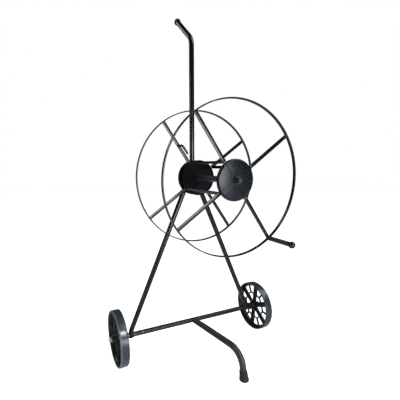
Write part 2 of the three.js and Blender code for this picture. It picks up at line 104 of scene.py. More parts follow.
SETBACK = 244
TUBE_RADIUS = 8
TUBE_WALL = 1.2
MAST_LOW_END = 575
HANDLE_BEND_HEIGHT = 1022.5
HANDLE_BEND = 40
HANDLE_RISE = math.radians(40.6)
HANDLE_LENGTH = 128
LEG_MEETING_HEIGHT = 623.5
LEG_SLOPE = 0.44
LEG_TOP_X = 18.5
LEG_BEND = 70
LEG_FOOT_X = 229
FOOT = Vector((46, 0, 0))
FOOT_LEAN = math.radians(10)
FOOT_BACKWARD = Vector((-FOOT.x, SETBACK - FOOT.y, 0)).normalized()
FOOT_AXIS = (Z + FOOT_BACKWARD * math.tan(FOOT_LEAN)).normalized()
FOOT_TUBE_RADIUS = 10
FOOT_TUBE_TOP = 93
FOOT_TUBE_BEND = 55
FOOT_TUBE_KNEE = 87
FOOT_TUBE_END = 10
FOOT_TUBE_SINK = 2.6

HUB_DISC_SETBACK = 226.5
HUB_DISC_DEPTH = 9
SPINDLE_RADIUS = 6
SPINDLE_END = 229
THREAD_RADIUS = 4
THREAD_LENGTH = 11.3
WHEEL_RADIUS = 90
WHEEL_MIDDLE = 272
WHEEL_WIDTH = 28
TREAD_SHOULDER = 4.2
WEB_RADIUS = 82.5
WEB_HALF_THICKNESS = 2.6
WEB_HOLE = 8
WINDOW_REACH = 76.8
SPOKE_HALF_WIDTH = 9.5
RIB_HALF_WIDTH = 3.0
AXLE_RADIUS = 4
KNURL_PITCH = 3.6
KNURL_COUNT = 157

hoop_low, hoop_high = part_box("front_hoop")
HOOP_MIDDLE = (hoop_low[1] + hoop_high[1]) / 2

rng = random.Random(7)


def place(point):
    """A point in millimetres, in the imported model's frame and in metres."""
    return Vector((point[0] * MM, point[1] * MM + HOOP_MIDDLE, point[2] * MM))


# ---------------------------------------------------------------- mesh building


class Shell:
    """Points in millimetres and the faces between them. One piece can hold several closed shells."""

    def __init__(self):
        self.points = []
        self.faces = []

    def add(self, points, faces):
        base = len(self.points)
        self.points += [Vector(point) for point in points]
        self.faces += [[index + base for index in face] for face in faces]
        return base

    def rings(self, rings, capped=True, looped=False):
        """Joins rings of equal length by quads, with an end face on each end if capped."""
        count = len(rings[0])
        faces = []
        pairs = len(rings) if looped else len(rings) - 1
        for i in range(pairs):
            low, high = i * count, ((i + 1) % len(rings)) * count
            for j in range(count):
                k = (j + 1) % count
                faces.append([low + j, low + k, high + k, high + j])
        if capped and not looped:
            faces.append(list(range(count))[::-1])
            faces.append([(len(rings) - 1) * count + j for j in range(count)])
        return self.add([point for ring in rings for point in ring], faces)


def circle(radius, sides=32):
    turns = [2 * math.pi * i / sides for i in range(sides)]
    return [(radius * math.cos(turn), radius * math.sin(turn)) for turn in turns]


def rounded_rectangle(width, height, radius, steps=3):
    points = []
    for cx, cy, start in (
        (width / 2 - radius, height / 2 - radius, 0),
        (radius - width / 2, height / 2 - radius, 90),
        (radius - width / 2, radius - height / 2, 180),
        (width / 2 - radius, radius - height / 2, 270),
    ):
        for i in range(steps + 1):
            turn = math.radians(start + 90 * i / steps)
            points.append((cx + radius * math.cos(turn), cy + radius * math.sin(turn)))
    return points


def bent(corners, radius, steps=16):
    """The points of a polyline whose inner corners are rounded to arcs."""
    corners = [Vector(corner) for corner in corners]
    path = [corners[0]]
    for before, corner, after in zip(corners, corners[1:], corners[2:]):
        toward, away = (corner - before).normalized(), (after - corner).normalized()
        turn = toward.angle(away)
        start = corner - toward * radius * math.tan(turn / 2)
        inward = (away - toward * math.cos(turn)).normalized()
        centre = start + inward * radius
        for i in range(steps + 1):
            angle = turn * i / steps
            path.append(centre - inward * radius * math.cos(angle) + toward * radius * math.sin(angle))
    path.append(corners[-1])
    return path


def spaced(path, step):
    """The same path with long straights divided."""
    points = [path[0]]
    for before, after in zip(path, path[1:]):
        count = max(1, round((after - before).length / step))
        points += [before.lerp(after, i / count) for i in range(1, count + 1)]
    return points


def sweep(shell, profile, path, normal, bore=0, looped=False):
    """Sweeps a profile along a flat path. A bore above 0 makes a hollow in each end."""
    rings = []
    last = len(path) - 1
    for i, point in enumerate(path):
        if looped:
            tangent = path[(i + 1) % len(path)] - path[i - 1]
        else:
            tangent = path[min(i + 1, last)] - path[max(i - 1, 0)]
        side = normal.cross(tangent.normalized())
        rings.append([point + side * u + normal * v for u, v in profile])
    if bore:
        for end, inner in ((0, 1), (-1, -2)):
            centre = path[end]
            inward = (path[inner] - centre).normalized()
            rim = [centre + (p - centre).normalized() * bore for p in rings[end]]
            bottom = [p + inward * 4 * bore for p in rim]
            if end == 0:
                rings = [bottom, rim] + rings
            else:
                rings += [rim, bottom]
    shell.rings(rings, looped=looped)
    return shell


def turned(shell, profile, centre, axis=Y, sides=64, closed=False):
    """A solid of revolution from (radius, height) points, about an axis through a centre."""
    centre = Vector(centre)
    axis = Vector(axis).normalized()
    across = axis.orthogonal().normalized() if abs(axis.z) > 0.9 else Z.cross(axis).normalized()
    up = axis.cross(across)
    rings = []
    for radius, height in profile:
        ring = []
        for u, v in circle(max(radius, 0.001), sides):
            ring.append(centre + axis * height + across * u + up * v)
        rings.append(ring)
    shell.rings(rings, capped=not closed, looped=closed)
    return shell


def corner_arc(radius, height, size, start, end, steps=5):
    """Profile points on an arc about (radius, height), from the start angle to the end angle."""
    points = []
    for i in range(steps + 1):
        turn = math.radians(start + (end - start) * i / steps)
        points.append((radius + size * math.cos(turn), height + size * math.sin(turn)))
    return points


def clamped(value):
    return min(1, max(0, value))


def piece(name, shell, body, material, nodes=(), bevel=0.0, sharp=35):
    """Makes one object of a shell, smooth but for edges sharper than the sharp angle."""
    mesh = bpy.data.meshes.new(name)
    mesh.from_pydata([place(point) for point in shell.points], [], shell.faces)
    work = bmesh.new()
    work.from_mesh(mesh)
    bmesh.ops.remove_doubles(work, verts=work.verts, dist=0.00002)
    bmesh.ops.dissolve_degenerate(work, edges=work.edges, dist=0.000005)
    bmesh.ops.recalc_face_normals(work, faces=work.faces)
    work.to_mesh(mesh)
    work.free()
    mesh.polygons.foreach_set("use_smooth", [True] * len(mesh.polygons))
    mesh.set_sharp_from_angle(angle=math.radians(sharp))
    obj = bpy.data.objects.new(name, mesh)
    bpy.context.scene.collection.objects.link(obj)
    if bevel:
        modifier = obj.modifiers.new("edges", "BEVEL")
        modifier.width = bevel * MM
        modifier.segments = 2
        modifier.limit_method = "ANGLE"
        modifier.angle_limit = math.radians(sharp)
    mesh.materials.append(material)
    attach(obj, body)
    if nodes:
        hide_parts(*nodes)
    return obj


# ---------------------------------------------------------------- materials


class Nodes:
    """A material's nodes, with short ways to add and link them."""

    def __init__(self, name):
        self.material = bpy.data.materials.new(name)
        self.material.use_nodes = True
        self.tree = self.material.node_tree
        self.shader = self.tree.nodes["Principled BSDF"]
        self.place = self.add("ShaderNodeTexCoord").outputs["Object"]

    def add(self, kind, **inputs):
        node = self.tree.nodes.new(kind)
        for key, value in inputs.items():
            self.set(node, key.replace("_", " "), value)
        return node

    def feed(self, target, value):
        """Links a socket to an input, or sets the input to a number or colour."""
        if isinstance(value, bpy.types.NodeSocket):
            self.tree.links.new(value, target)
        else:
            target.default_value = value

    def set(self, node, key, value):
        self.feed(node.inputs[key], value)

    def noise(self, scale, detail=3.0, roughness=0.5):
        node = self.add("ShaderNodeTexNoise", Scale=scale, Detail=detail, Roughness=roughness)
        self.set(node, "Vector", self.place)
        return node.outputs["Fac"]

    def ramp(self, value, *stops):
        """Grey stops, each a position and a level."""
        node = self.add("ShaderNodeValToRGB", Fac=value)
        for element, (position, level) in zip(node.color_ramp.elements, stops):
            element.position = position
            element.color = (level, level, level, 1)
        return node.outputs["Color"]

    def math(self, operation, *values):
        node = self.tree.nodes.new("ShaderNodeMath")
        node.operation = operation
        for target, value in zip(node.inputs, values):
            self.feed(target, value)
        return node.outputs[0]

    def mix(self, factor, a, b):
        """A colour between a and b, each a socket or three numbers."""
        node = self.tree.nodes.new("ShaderNodeMix")
        node.data_type = "RGBA"
        self.feed(node.inputs[0], factor)
        for index, colour in ((6, a), (7, b)):
            self.feed(node.inputs[index], (*colour, 1) if isinstance(colour, tuple) else colour)
        return node.outputs[2]

    def bump(self, height, strength, distance, before=None):
        node = self.add("ShaderNodeBump", Strength=strength, Distance=distance, Height=height)
        if before is not None:
            self.set(node, "Normal", before)
        return node.outputs["Normal"]

    def uneven_roughness(self, scale, lowest, amount):
        """Roughness from lowest to lowest plus amount, by noise."""
        uneven = self.math("MULTIPLY_ADD", self.noise(scale, 4, 0.6), amount, lowest)
        self.set(self.shader, "Roughness", uneven)


def worn_edges(nodes):
    """High on convex edges, broken up by noise."""
    edge = nodes.add("ShaderNodeNewGeometry").outputs["Pointiness"]
    mask = nodes.ramp(edge, (0.53, 0.0), (0.6, 1.0))
    broken = nodes.ramp(nodes.noise(160, 5, 0.65), (0.45, 0.0), (0.62, 1.0))
    return nodes.math("MULTIPLY", mask, broken)


def powder_coat(name, colour, lighter, roughness, wear=0.5, specular=0.5):
    """Satin powder coat: a fine orange peel, uneven sheen, and bare grey along worn edges."""
    bare = (0.16, 0.16, 0.165)
    nodes = Nodes(name)
    broad = nodes.noise(14, 4, 0.6)
    tint = nodes.mix(nodes.ramp(broad, (0.35, 0.0), (0.7, 1.0)), colour, lighter)
    mask = nodes.math("MULTIPLY", worn_edges(nodes), wear)
    nodes.set(nodes.shader, "Base Color", nodes.mix(mask, tint, bare))
    nodes.uneven_roughness(55, roughness - 0.05, 0.1)
    nodes.set(nodes.shader, "Metallic", 0.0)
    nodes.set(nodes.shader, "Specular IOR Level", specular)
    peel = nodes.bump(nodes.noise(620, 2, 0.45), 0.08, 0.00025)
    nodes.set(nodes.shader, "Normal", nodes.bump(nodes.noise(2600, 2, 0.5), 0.06, 0.0001, peel))
    return nodes.material


def plated_steel(name, colour, roughness):
    """Plated steel, with a mottled sheen and fine drawing marks."""
    nodes = Nodes(name)
    mottle = nodes.noise(90, 5, 0.6)
    darker = tuple(channel * 0.72 for channel in colour)
    nodes.set(nodes.shader, "Base Color", nodes.mix(mottle, darker, colour))
    nodes.set(nodes.shader, "Metallic", 1.0)
    nodes.uneven_roughness(240, roughness - 0.1, 0.22)
    nodes.set(nodes.shader, "Normal", nodes.bump(nodes.noise(1500, 3, 0.6), 0.15, 0.00015))
    return nodes.material


def moulded(name, colour, dust, roughness):
    """Moulded rubber or plastic, with a fine grain and a little dust in its texture."""
    nodes = Nodes(name)
    patches = nodes.ramp(nodes.noise(38, 5, 0.62), (0.48, 0.0), (0.75, 0.5))
    nodes.set(nodes.shader, "Base Color", nodes.mix(patches, colour, dust))
    nodes.uneven_roughness(80, roughness - 0.1, 0.2)
    nodes.set(nodes.shader, "Normal", nodes.bump(nodes.noise(1400, 3, 0.6), 0.3, 0.0002))
    return nodes.material


black_paint = powder_coat("black_powder_coat", (0.0034, 0.0036, 0.0042), (0.006, 0.0062, 0.0071), 0.18)
disc_paint = powder_coat(
    "disc_powder_coat", (0.0045, 0.0062, 0.0088), (0.0068, 0.009, 0.0125), 0.22, wear=0.3, specular=0.36
)
# Painted light: a lighter copy of the frame's black paint, standing in for the light the foot tube catches
# on its bend.
lit_foot_paint = powder_coat("lit_foot_powder_coat", (0.018, 0.0182, 0.021), (0.029, 0.0295, 0.033), 0.38, wear=0.3)
bar_paint = powder_coat(
    "bar_powder_coat", (0.0045, 0.0045, 0.0047), (0.007, 0.007, 0.0072), 0.24, specular=0.28
)
# Painted shade: a darker, duller copy of the disc paint, for the rear disc and the frame's hub disc, which
# lie in the drum's shadow.
shaded_disc_paint = powder_coat(
    "shaded_disc_powder_coat", (0.003, 0.0035, 0.0045), (0.005, 0.006, 0.007), 0.6, wear=0.2, specular=0.12
)
# Painted light: a lighter copy of the frame's black paint, standing in for the light the crank grip
# catches.
lit_grip_paint = powder_coat("lit_grip_powder_coat", (0.03, 0.029, 0.034), (0.045, 0.043, 0.05), 0.32)
dark_steel = powder_coat("dark_plated_steel", (0.028, 0.026, 0.033), (0.045, 0.042, 0.052), 0.36, wear=0.2)
zinc = plated_steel("zinc_plate", (0.22, 0.23, 0.25), 0.28)
dark_zinc = plated_steel("dark_zinc_plate", (0.06, 0.064, 0.072), 0.3)
rubber = moulded("black_rubber", (0.0044, 0.0044, 0.004675), (0.018, 0.018, 0.0186), 0.62)
knob_rubber = moulded("knob_rubber", (0.006, 0.006, 0.0065), (0.012, 0.012, 0.012), 0.27)
bush_plastic = moulded("black_bush_plastic", (0.01, 0.01, 0.011), (0.02, 0.02, 0.02), 0.5)
cap_plastic = moulded("pale_cap_plastic", (0.66, 0.66, 0.68), (0.5, 0.5, 0.51), 0.35)


def tread_material():
    """The tread, lighter than the wheel's plastic partly from dust and partly as painted light, with
    painted shade in the knurl's grooves and a painted highlight on its outer shoulder. Its UVs are metres
    round the wheel and across it, for the knurling.
    """
    nodes = Nodes("wheel_tread")
    patches = nodes.ramp(nodes.noise(45, 5, 0.65), (0.35, 0.0), (0.7, 1.0))
    # The tread's tint, far lighter than the wheel's plastic: partly dust, partly painted light in place of
    # the lamps' reflection.
    tint = nodes.mix(patches, (0.033, 0.038, 0.046), (0.056, 0.063, 0.072))
    # Painted shade: the darker colour laid in the knurl's grooves. Painted highlight: the light colour on
    # the outer shoulder.
    groove_shade_colour, shoulder_highlight_colour = (0.02, 0.022, 0.027), (0.13, 0.148, 0.166)
    nodes.uneven_roughness(70, 0.2, 0.1)
    uv = nodes.add("ShaderNodeSeparateXYZ")
    nodes.set(uv, "Vector", nodes.add("ShaderNodeTexCoord").outputs["UV"])
    around, across = uv.outputs["X"], uv.outputs["Y"]
    waves = []
    for slope in (0.8, -0.8):
        slanted = nodes.math("MULTIPLY_ADD", across, slope, around)
        waves.append(nodes.math("SINE", nodes.math("MULTIPLY", slanted, 2 * math.pi / (KNURL_PITCH * MM))))
    knurl = nodes.math("MAXIMUM", *waves)
    # Painted shade: the knurl's grooves are darkened.
    groove_shade = nodes.ramp(knurl, (0.0, 1.0), (0.55, 0.0))
    groove_shaded = nodes.mix(groove_shade, tint, groove_shade_colour)
    # A painted highlight: a light band on the shoulder, where its rounded edge would catch light, ending at
    # the wheel's outer face.
    half = WHEEL_WIDTH / 2 * MM
    shoulder = nodes.ramp(across, (half - 0.0034, 0.0), (half - 0.0028, 1.0))
    face = nodes.ramp(across, (half - 0.0005, 1.0), (half - 0.0001, 0.0))
    shoulder_highlight = nodes.math("MULTIPLY", shoulder, face)
    nodes.set(nodes.shader, "Base Color", nodes.mix(shoulder_highlight, groove_shaded, shoulder_highlight_colour))
    grain = nodes.bump(nodes.noise(1300, 3, 0.6), 0.1, 0.0002)
    nodes.set(nodes.shader, "Normal", nodes.bump(knurl, 0.05, 0.0002, grain))
    return nodes.material


wheel_tread = tread_material()
wheel_plastic = moulded("wheel_plastic", (0.005, 0.0063, 0.0088), (0.012, 0.0138, 0.018), 0.36)

# ---------------------------------------------------------------- welds


def bead(shell, path, size, normal=None, looped=True):
    """A rippled weld bead along a path, thinner at its ends unless it is looped."""
    path = [Vector(point) for point in path]
    count = len(path)
    rings = []
    for i, point in enumerate(path):
        if looped:
            tangent = (path[(i + 1) % count] - path[i - 1]).normalized()
        else:
            tangent = (path[min(i + 1, count - 1)] - path[max(i - 1, 0)]).normalized()
        side = tangent.orthogonal().normalized() if normal is None else normal.cross(tangent).normalized()
        up = tangent.cross(side)
        ripple = 1 + 0.12 * math.sin(i * 2.1) + rng.uniform(-0.07, 0.07)
        if not looped:
            ripple *= max(0.25, math.sin(math.pi * (i + 0.5) / count)) ** 0.5
        rings.append([point + (side * u + up * v) * ripple for u, v in circle(size, 10)])
    shell.rings(rings, looped=looped)
    return shell


def joint_ring(start, direction, radius, main_point, main_axis, main_radius, count=40):
    """Where a tube that comes from start meets the side of another tube."""
    direction = Vector(direction).normalized()
    main_axis = Vector(main_axis).normalized()
    side = direction.orthogonal().normalized()
    up = direction.cross(side)
    ring = []
    for i in range(count):
        turn = 2 * math.pi * i / count
        point = Vector(start) + (side * math.cos(turn) + up * math.sin(turn)) * radius
        offset = point - Vector(main_point)
        flat_offset = offset - main_axis * offset.dot(main_axis)
        flat_way = direction - main_axis * direction.dot(main_axis)
        a = flat_way.length_squared
        b = 2 * flat_offset.dot(flat_way)
        c = flat_offset.length_squared - main_radius**2
        inside = max(b * b - 4 * a * c, 0)
        ring.append(point + direction * (-b - math.sqrt(inside)) / (2 * a))
    return ring


# ---------------------------------------------------------------- reel


def around_axis(radius, angle, y):
    """The point at a radius from the reel's axis, at an angle from X in the reel's plane."""
    turn = math.radians(angle)
    return Vector((radius * math.cos(turn), y, AXIS_HEIGHT + radius * math.sin(turn)))


def out_from_axis(angle):
    turn = math.radians(angle)
    return Vector((math.cos(turn), 0, math.sin(turn)))


def sideways(angle):
    return out_from_axis(angle).cross(Y)


def hoop(name, y):
    """A ring of flat strip, its width along the axis."""
    shell = Shell()
    profile = rounded_rectangle(HOOP_THICKNESS, HOOP_WIDTH, 0.55)
    sides = 240
    path = [around_axis(HOOP_RADIUS, 360 * i / sides, y) for i in range(sides)]
    sweep(shell, profile, path, Y, looped=True)
    piece(name, shell, "reel", black_paint, [name])


def drum_bar(place_name, angle):
    """A strip bent to a spoke, a bar of the drum and a spoke, with its welds."""
    tip = HOOP_RADIUS - HOOP_THICKNESS / 2 - WELD_GAP
    corners = [
        around_axis(tip, angle, 0),
        around_axis(BAR_SEAT, angle, 0),
        around_axis(BAR_SEAT, angle, HOOP_SPACING),
        around_axis(tip, angle, HOOP_SPACING),
    ]
    path = spaced(bent(corners, BAR_BEND, 8), 12)
    profile = rounded_rectangle(BAR_THICKNESS, BAR_WIDTH, 0.5)
    shell = sweep(Shell(), profile, path, sideways(angle))
    name = f"drum_bar_{place_name}"
    piece(name, shell, "reel", black_paint, [name])
    welds = Shell()
    side, out = sideways(angle), out_from_axis(angle)
    for y in (0, HOOP_SPACING):
        end = around_axis(tip, angle, y)
        outline = rounded_rectangle(BAR_WIDTH + 0.4, BAR_THICKNESS + 0.6, 0.8, 2)
        bead(welds, [end - out * 0.3 + side * u + Y * v for u, v in outline], 1.0, out)
    for face, way in ((-1, 1), (HOOP_SPACING + 1, -1)):
        for edge in (-1, 1):
            start = around_axis(DISC_RADIUS + WELD_GAP, angle, face) + side * edge * (BAR_WIDTH / 2 + 0.3)
            bead(welds, [start + Y * way * i * 0.6 for i in range(6)], 0.9, side, looped=False)
    piece(f"welds_{place_name}", welds, "reel", black_paint)


def dish_profile(hole, depth):
    """The sheet's (radius, height) loop: a slightly domed face at 0, and a rim at depth."""
    inner = DISC_RADIUS - DISC_SHEET
    corner = (DISC_RADIUS - DISC_SHOULDER, DISC_SHOULDER + DISC_DOME)
    steps = 12
    face = [(hole, 0)]
    for i in range(steps + 1):
        radius = DISC_FLAT + (DISC_RADIUS - DISC_SHOULDER - DISC_FLAT) * i / steps
        face.append((radius, DISC_DOME * (i / steps) ** 2))
    rim = [
        (DISC_RADIUS, depth - 0.4),
        (DISC_RADIUS - 0.4, depth),
        (inner + 0.4, depth),
        (inner, depth - 0.4),
    ]
    outside = corner_arc(*corner, DISC_SHOULDER, -84, 0, 8)
    inside = corner_arc(*corner, DISC_SHOULDER - DISC_SHEET, 0, -84, 8)
    back = [(radius, height + DISC_SHEET) for radius, height in face[-2::-1]]
    return face + outside + rim + inside + back


def channel_depth(offset, angles):
    """How deep the channels at the given angles are pressed, at an offset from the disc's middle."""
    reach = offset.length
    start = clamped((reach - 16) / 8)
    end = clamped((DISC_RADIUS - 3 - reach) / 6)
    depth = 0.0
    for angle in angles:
        if offset.dot(out_from_axis(angle)) > 0:
            across = offset.dot(sideways(angle))
            depth += CHANNEL_DEPTH * math.exp(-((across / CHANNEL_SPREAD) ** 2)) * start * end
    return depth


def disc(name, y, way, body, hole, depth, material, angles=()):
    """A pressed dish, with shallow channels pressed towards the given angles."""
    shell = turned(Shell(), dish_profile(hole, depth), (0, y, AXIS_HEIGHT), Y * way, 144, closed=True)
    for point in shell.points:
        point.y += way * channel_depth(point - Vector((0, point.y, AXIS_HEIGHT)), angles)
    piece(name, shell, body, material, [name], sharp=50)


def make_reel():
    hoop("front_hoop", 0)
    hoop("rear_hoop", HOOP_SPACING)
    for place_name, angle in BAR_ANGLES.items():
        drum_bar(place_name, angle)
    front, back = -REEL_TUBE_PROUD, HOOP_SPACING + REEL_TUBE_PROUD
    angles = tuple(BAR_ANGLES.values())
    hole = REEL_TUBE_RADIUS + WELD_GAP
    disc("front_disc", -DISC_PROUD, 1, "reel", hole, DISC_DEPTH, disc_paint, angles)
    # The rear disc takes the painted-shade copy of the disc paint.
    disc("rear_disc", HOOP_SPACING + DISC_PROUD, -1, "reel", hole, DISC_DEPTH, shaded_disc_paint, angles)
    tube = [
        (REEL_TUBE_RADIUS - REEL_TUBE_WALL, front),
        (REEL_TUBE_RADIUS, front),
        (REEL_TUBE_RADIUS, back),
        (REEL_TUBE_RADIUS - REEL_TUBE_WALL, back),
    ]
    shell = turned(Shell(), tube, (0, 0, AXIS_HEIGHT), closed=True)
    piece("reel_tube", shell, "reel", dark_steel, ["reel_tube"], bevel=0.3)
    welds = Shell()
    for y in (-DISC_PROUD - WELD_GAP, HOOP_SPACING + DISC_PROUD + WELD_GAP):
        bead(welds, [around_axis(REEL_TUBE_RADIUS + 0.5, 6 * i, y) for i in range(60)], 0.9)
    piece("reel_tube_welds", welds, "reel", disc_paint)
    flanged_bush = [
        (BUSH_BORE, -2),
        (8.4, -2),
        (REEL_TUBE_RADIUS, -1.4),
        (REEL_TUBE_RADIUS, -0.3),
        (7, -0.3),
        (7, BUSH_LENGTH),
        (BUSH_BORE, BUSH_LENGTH),
    ]
    for name, y, way in (("front_bush", front, 1), ("rear_bush", back, -1)):
        shell = turned(Shell(), flanged_bush, (0, y, AXIS_HEIGHT), Y * way, closed=True)
        piece(name, shell, "reel", bush_plastic, [name])
    make_hook()
    make_crank()


def make_hook():
    """The wire hook for the hose's end, on the rear spoke at the upper left."""
    angle = BAR_ANGLES["upper_left"]
    front = HOOP_SPACING - HOOK_REACH
    corners = [
        around_axis(HOOK_ROOT, angle, HOOP_SPACING - BAR_THICKNESS / 2 - WELD_GAP),
        around_axis(HOOK_ROOT, angle, front),
        around_axis(HOOK_TIP, angle, front),
    ]
    path = bent(corners, HOOK_BEND, 10)
    side, out = sideways(angle), out_from_axis(angle)
    tip = path[-1]
    shell = Shell()
    sweep(shell, circle(HOOK_RADIUS, 24), path[:-1] + [tip + out * 0.8], side)
    sweep(shell, circle(HOOK_RADIUS - 0.5, 24), [tip + out * 0.9, tip], side)
    piece("hose_hook", shell, "reel", black_paint, ["hose_hook"], bevel=0.4)
    foot = corners[0] - Y * 0.4
    ring = [foot + out * u + side * v for u, v in circle(HOOK_RADIUS + 0.5, 24)]
    piece("hook_weld", bead(Shell(), ring, 1.1), "reel", black_paint)


def make_crank():
    """The pin on the front hoop, the grip that turns on it and the knob on its end."""
    centre = around_axis(HOOP_RADIUS, BAR_ANGLES["lower_right"], 0)
    root = -HOOP_WIDTH / 2 - RUNNING_GAP
    bore = CRANK_PIN_RADIUS + RUNNING_GAP
    pin = [
        (0, -CRANK_LENGTH - 2),
        (CRANK_PIN_RADIUS, -CRANK_LENGTH - 2),
        (CRANK_PIN_RADIUS, root - CRANK_COLLAR),
        (GRIP_RADIUS - 0.6, root - CRANK_COLLAR),
        (GRIP_RADIUS, root - CRANK_COLLAR + 0.6),
        (GRIP_RADIUS, root),
        (0, root),
    ]
    shell = turned(Shell(), pin, centre)
    piece("crank_pin", shell, "reel", dark_steel, ["crank_pin"], bevel=0.2)
    front = -CRANK_LENGTH + KNOB_BACK + RUNNING_GAP
    back = root - CRANK_COLLAR - RUNNING_GAP
    corner = 0.9
    grip = [
        (CRANK_PIN_RADIUS + 0.1, front),
        (GRIP_RADIUS - 1, front),
        *corner_arc(GRIP_RADIUS - corner, front + corner, corner, -90, 0, 4),
        (GRIP_RADIUS, (front + back) / 2),
        *corner_arc(GRIP_RADIUS - corner, back - corner, corner, 0, 90, 4),
        (GRIP_RADIUS - 1, back),
        (CRANK_PIN_RADIUS + 0.1, back),
    ]
    shell = turned(Shell(), grip, centre, closed=True)
    # The grip takes the painted-light copy of the frame paint.
    piece("crank_grip", shell, "crank_grip", lit_grip_paint, ["crank_grip"])
    rear = math.degrees(math.asin(KNOB_BACK / KNOB_RADIUS))
    knob = [
        *corner_arc(0, -CRANK_LENGTH, KNOB_RADIUS, -90, -8, 14),
        *corner_arc(0, -CRANK_LENGTH, KNOB_RADIUS + 0.18, -5, 0, 2),
        *corner_arc(0, -CRANK_LENGTH, KNOB_RADIUS, 4, rear - 4, 6),
        (6.4, -CRANK_LENGTH + KNOB_BACK - 0.2),
        (5.2, -CRANK_LENGTH + KNOB_BACK),
        (bore, -CRANK_LENGTH + KNOB_BACK),
        (bore, -CRANK_LENGTH - 2.3),
        (0, -CRANK_LENGTH - 2.3),
    ]
    shell = turned(Shell(), knob, centre)
    piece("crank_knob", shell, "reel", knob_rubber, ["crank_knob"])
    ring = [centre + X * u + Y * (root + WELD_GAP) + Z * v for u, v in circle(GRIP_RADIUS - 0.6, 36)]
    piece("crank_weld", bead(Shell(), ring, 1.0), "reel", black_paint)


# ---------------------------------------------------------------- frame


def make_mast():
    """The upright tube, bent back to a handle, with the cap on its end."""
    handle = Vector((0, math.cos(HANDLE_RISE), math.sin(HANDLE_RISE)))
    bend = Vector((0, SETBACK, HANDLE_BEND_HEIGHT))
    end = bend + handle * HANDLE_LENGTH
    path = spaced(bent([Vector((0, SETBACK, MAST_LOW_END)), bend, end], HANDLE_BEND, 20), 25)
    shell = sweep(Shell(), circle(TUBE_RADIUS), path, X, bore=TUBE_RADIUS - TUBE_WALL)
    piece("mast_tube", shell, "frame", black_paint, ["mast_tube"], bevel=0.3)
    dome_radius, dome_base, dome_rise = 10.7, 4.2, 7.7
    dome = [math.radians(8 * i) for i in range(1, 11)]
    cap = [
        (0, -18),
        (6.5, -18),
        (6.5, 0.3),
        (9, 0.3),
        (10.1, 0.9),
        (10.6, 2.2),
        (10.9, 3.6),
        (dome_radius, dome_base),
        *[(dome_radius * math.cos(turn), dome_base + dome_rise * math.sin(turn)) for turn in dome],
        (0, dome_base + dome_rise),
    ]
    shell = turned(Shell(), cap, end, handle)
    piece("handle_end_cap", shell, "frame", rubber, ["handle_end_cap"], sharp=60)


def make_legs(welds):
    """Both legs and the bar between them, with beads round the bar's ends and the axle pins."""
    knee_height = LEG_MEETING_HEIGHT - LEG_FOOT_X / LEG_SLOPE
    axle = Vector((0, SETBACK, WHEEL_RADIUS))
    for name, side in (("left_leg", -1), ("right_leg", 1)):
        top = Vector((side * LEG_TOP_X, SETBACK, LEG_MEETING_HEIGHT - LEG_TOP_X / LEG_SLOPE))
        knee = Vector((side * LEG_FOOT_X, SETBACK, knee_height))
        foot = Vector((side * LEG_FOOT_X, SETBACK, WHEEL_RADIUS - 8.5))
        path = spaced(bent([top, knee, foot], LEG_BEND, 20), 25)
        shell = sweep(Shell(), circle(TUBE_RADIUS), path, Y, bore=TUBE_RADIUS - TUBE_WALL)
        piece(name, shell, "frame", black_paint, [name], bevel=0.3)
        bead(welds, joint_ring(axle, X * side, TUBE_RADIUS, foot, Z, TUBE_RADIUS + 0.1), 1.5)
        pin_side = side * (LEG_FOOT_X + TUBE_RADIUS - 0.6)
        bead(welds, [axle + Vector((pin_side, u, v)) for u, v in circle(AXLE_RADIUS + 0.6, 30)], 1.3)
    half_span = X * (LEG_FOOT_X - 5)
    shell = sweep(Shell(), circle(TUBE_RADIUS), spaced([axle - half_span, axle + half_span], 40), Y)
    piece("axle_bar", shell, "frame", bar_paint, ["axle_bar"])


def make_foot_tube(welds):
    """The foot's tube, sinking and narrowing towards its joint with the bar between the legs."""
    start = Vector((0, SETBACK, FOOT_TUBE_TOP))
    knee = FOOT + FOOT_AXIS * FOOT_TUBE_KNEE / FOOT_AXIS.z
    end = FOOT + FOOT_AXIS * FOOT_TUBE_END / FOOT_AXIS.z
    along = (knee - start).normalized()
    path = spaced(bent([start + along * 4, knee, end], FOOT_TUBE_BEND, 24), 10)
    shell = sweep(Shell(), circle(FOOT_TUBE_RADIUS, 36), path, FOOT_BACKWARD.cross(Z))
    for point in shell.points:
        away = (point - start).dot(along)
        ease = max(0.0, 1 - away / 60) ** 2
        middle = start + along * away
        point += (middle - point) * 0.2 * ease - Z * FOOT_TUBE_SINK * ease
    # The foot tube takes the painted-light copy of the frame paint.
    piece("foot_tube", shell, "frame", lit_foot_paint, ["foot_tube"])
    low_start = start - Z * FOOT_TUBE_SINK
    axle = Vector((0, SETBACK, WHEEL_RADIUS))
    ring = joint_ring(low_start + along * 60, -along, 7.7, axle, X, TUBE_RADIUS + 0.1)
    for side in (-1, 1):
        arc = [point for point in ring if side * (point.x - low_start.x) > 2.5]
        arc.sort(key=lambda point: point.z)
        bead(welds, arc, 1.5, looped=False)


def weld_mast(welds):
    """Short beads down both sides of the mast, where the legs meet it."""
    front = SETBACK - 6.6
    for side in (-1, 1):
        for height in (560, 590, 620):
            x = side * 3.0
            if height < 600:
                x = side * LEG_SLOPE * (LEG_MEETING_HEIGHT - height)
            spot = [Vector((x + side * 2, front, height + 0.8 * k)) for k in range(-6, 7)]
            bead(welds, spot, 1.2, Y, looped=False)


